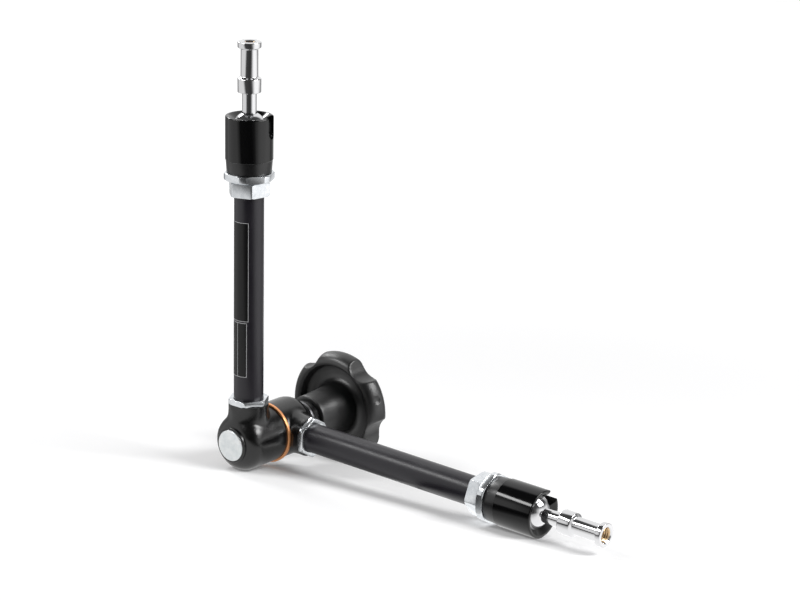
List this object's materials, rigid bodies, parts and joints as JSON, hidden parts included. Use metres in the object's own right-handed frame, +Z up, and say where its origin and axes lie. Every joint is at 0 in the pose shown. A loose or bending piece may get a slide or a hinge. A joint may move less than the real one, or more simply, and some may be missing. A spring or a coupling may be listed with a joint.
{
  "type": "articulating friction arm",
  "caption": "Two-section articulated support arm with ball studs at both ends, locked together at the elbow by one large lobed knob.",
  "frame": {"origin": "middle of the footprint of the resting arm, on the surface it rests on", "axes": "+Z up from that surface, +X along the lower arm towards its stud, +Y along the elbow axis towards the knob as seen from above"},
  "size_m": [0.3126, 0.163, 0.2911],
  "materials": {
    "cast_black": "satin black coat over a fine cast grain",
    "copper_ring": "turned copper coloured friction metal",
    "zinc_nut": "bright zinc plate",
    "anodised_tube": "satin black anodised",
    "bolt_steel": "satin zinc plate",
    "cone_steel": "hardened and greased",
    "spring_steel": "spring wire",
    "chrome_ring": "polished",
    "black_sleeve": "satin black",
    "knob_plastic": "fine moulded grain",
    "insert_brass": "turned",
    "rod_steel": "drawn bright",
    "cup_brass": "turned",
    "bright_nut": "bright nickel plate",
    "gloss_cap": "glossy black enamel",
    "stud_chrome": "polished chrome plate"
  },
  "bodies": {
    "lower_arm": {"housing_b": "cast_black", "elbow_nut_b": "zinc_nut", "tube_b": "anodised_tube", "socket_adaptor_b": "bright_nut", "cap_lock_nut_b": "bright_nut", "friction_ring": "copper_ring", "guide_ring": "chrome_ring", "release_spring": "spring_steel"},
    "upper_arm": {"housing_a": "cast_black", "elbow_nut_a": "zinc_nut", "tube_a": "anodised_tube", "socket_adaptor_a": "bright_nut", "cap_lock_nut_a": "bright_nut"},
    "draw_bolt": {"tension_bolt": "bolt_steel", "wedge_cone_a": "cone_steel"},
    "thrust_set": {"thrust_sleeve": "black_sleeve", "wedge_cone_b": "cone_steel"},
    "knob": {"knob": "knob_plastic", "knob_insert": "insert_brass", "knob_cap": "knob_plastic"},
    "rod_a": {"push_rod_a": "rod_steel", "pressure_cup_a": "cup_brass"},
    "rod_b": {"push_rod_b": "rod_steel", "pressure_cup_b": "cup_brass"},
    "cap_a": {"ball_cap_a": "gloss_cap"},
    "stud_a": {"ball_stud_a": "stud_chrome"},
    "cap_b": {"ball_cap_b": "gloss_cap"},
    "stud_b": {"ball_stud_b": "stud_chrome"}
  },
  "joints": [
    {"name": "elbow", "type": "hinge", "parent": "lower_arm", "child": "upper_arm", "pos_m": [-0.11732, -0.0252, 0.02061], "axis": [0, 0.9841, 0.1775], "continuous": true},
    {"name": "thrust_slide", "type": "slide", "parent": "lower_arm", "child": "thrust_set", "axis": [0, 0.9841, 0.1775], "range_m": [0, 0.0012]},
    {"name": "knob_turn", "type": "hinge", "parent": "thrust_set", "child": "knob", "pos_m": [-0.11732, 0.03365, 0.03122], "axis": [0, 0.9841, 0.1775], "range_deg": [0, 540]},
    {"name": "bolt_slide", "type": "slide", "parent": "lower_arm", "child": "draw_bolt", "axis": [0, -0.9841, -0.1775], "range_m": [0, 0.0012]},
    {"name": "rod_slide_a", "type": "slide", "parent": "upper_arm", "child": "rod_a", "axis": [-0.0244, 0.1774, -0.9838], "range_m": [0, 0.0005]},
    {"name": "rod_slide_b", "type": "slide", "parent": "lower_arm", "child": "rod_b", "axis": [-0.9989, -0.0085, 0.0469], "range_m": [0, 0.0005]},
    {"name": "cap_turn_a", "type": "hinge", "parent": "upper_arm", "child": "cap_a", "pos_m": [-0.11207, -0.06336, 0.23223], "axis": [0.0244, -0.1774, 0.9838], "range_deg": [-180, 180]},
    {"name": "stud_tilt_a", "type": "hinge", "parent": "cap_a", "child": "stud_a", "pos_m": [-0.11207, -0.06336, 0.23223], "axis": [-0.4146, 0.8937, 0.1715], "range_deg": [-30, 90]},
    {"name": "cap_turn_b", "type": "hinge", "parent": "lower_arm", "child": "cap_b", "pos_m": [0.09753, 0.0091, 0.01639], "axis": [0.9989, 0.0085, -0.0469], "range_deg": [-180, 180]},
    {"name": "stud_tilt_b", "type": "hinge", "parent": "cap_b", "child": "stud_b", "pos_m": [0.09753, 0.0091, 0.01639], "axis": [0.0337, -0.8212, 0.5696], "range_deg": [-30, 90]}
  ],
  "couplings": [
    {"joint": "thrust_slide", "follows": "knob_turn", "m_per_rad": 0.00011937},
    {"joint": "bolt_slide", "follows": "knob_turn", "m_per_rad": 0.00011937},
    {"joint": "rod_slide_a", "follows": "knob_turn", "m_per_rad": 0.000043446},
    {"joint": "rod_slide_b", "follows": "knob_turn", "m_per_rad": 0.000043446}
  ]
}
